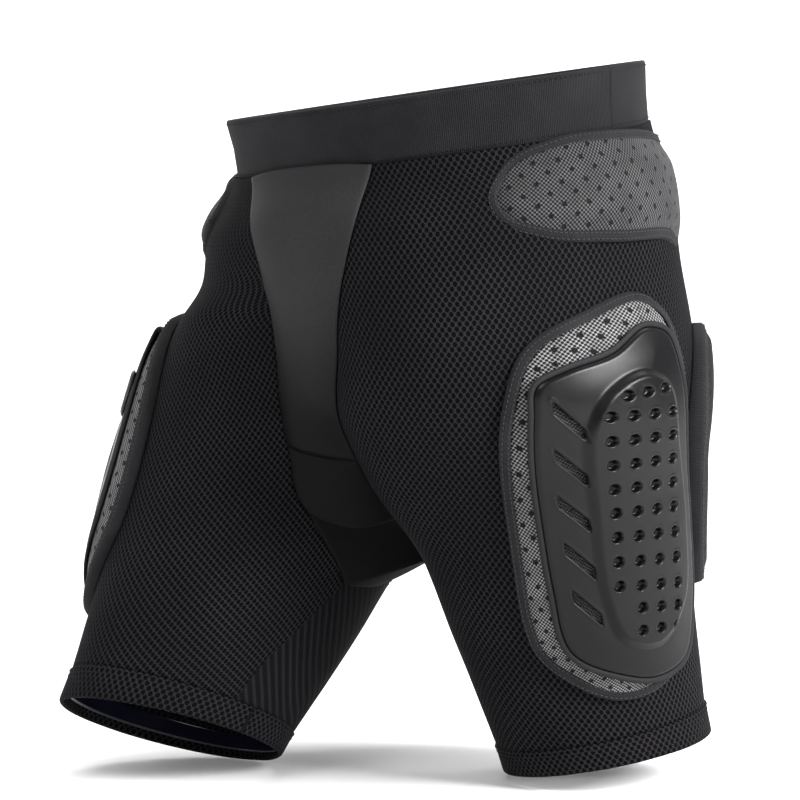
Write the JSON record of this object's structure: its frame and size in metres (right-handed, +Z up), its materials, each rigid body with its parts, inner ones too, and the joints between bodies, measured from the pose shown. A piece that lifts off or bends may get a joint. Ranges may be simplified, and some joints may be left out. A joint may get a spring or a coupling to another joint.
{
  "type": "padded impact shorts",
  "caption": "Padded sports shorts of mesh fabric with foam hip, seat and tailbone pads and hard vented thigh shells, held open in a striding shape on hinged legs.",
  "frame": {"origin": "centre of the waist opening, in the plane of the waistband's top edge", "axes": "+X to the wearer's left, -Y to the front, +Z up"},
  "size_m": [0.402, 0.347, 0.4722],
  "materials": {
    "knit": "elastic rib knit, matte",
    "smooth_knit": "smooth stretch knit, soft sheen",
    "mesh": "open warp-knit mesh, matte",
    "fine_mesh": "fine warp-knit mesh, matte",
    "foam": "perforated closed-cell foam, matte",
    "pad_mesh": "grey and black diamond mesh over foam",
    "tape": "grosgrain binding tape, matte",
    "shell_plastic": "moulded polyethylene, semi-gloss",
    "trim": "textured rim trim, matte",
    "silicone": "silicone gripper band, glossy",
    "badge_plastic": "blank raised badge, glossy"
  },
  "bodies": {
    "hips": {"waistband": "knit", "front_panel": "smooth_knit", "crotch_gusset": "smooth_knit", "left_hip_mesh": "mesh", "right_hip_mesh": "mesh", "left_hip_fold": "mesh", "right_hip_fold": "mesh", "left_hip_pad_foam": "foam", "left_hip_pad_cover": "pad_mesh", "left_hip_pad_binding": "tape", "right_hip_pad_foam": "foam", "right_hip_pad_cover": "pad_mesh", "right_hip_pad_binding": "tape", "tailbone_pad_foam": "foam", "tailbone_pad_cover": "pad_mesh", "tailbone_pad_binding": "tape"},
    "left_leg": {"left_leg_mesh": "mesh", "left_inner_thigh_panel": "fine_mesh", "left_hem": "knit", "left_gripper": "silicone", "left_thigh_pad_foam": "foam", "left_thigh_pad_cover": "pad_mesh", "left_thigh_pad_binding": "tape", "left_thigh_shell": "shell_plastic", "left_thigh_shell_trim": "trim", "left_seat_pad_foam": "foam", "left_seat_pad_cover": "pad_mesh", "left_seat_pad_binding": "tape"},
    "right_leg": {"right_leg_mesh": "mesh", "right_inner_thigh_panel": "fine_mesh", "right_hem": "knit", "right_gripper": "silicone", "right_thigh_pad_foam": "foam", "right_thigh_pad_cover": "pad_mesh", "right_thigh_pad_binding": "tape", "right_thigh_shell": "shell_plastic", "right_thigh_shell_trim": "trim", "right_thigh_badge": "badge_plastic", "right_seat_pad_foam": "foam", "right_seat_pad_cover": "pad_mesh", "right_seat_pad_binding": "tape"}
  },
  "joints": [
    {"name": "left_hip_swing", "type": "hinge", "parent": "hips", "child": "left_leg", "pos_m": [0.088, -0.003, -0.18], "axis": [-1, 0, 0], "range_deg": [-4, 56], "deforming": ["left_hip_fold"]},
    {"name": "right_hip_swing", "type": "hinge", "parent": "hips", "child": "right_leg", "pos_m": [-0.088, -0.003, -0.18], "axis": [-1, 0, 0], "range_deg": [-47, 13], "deforming": ["right_hip_fold"]}
  ]
}
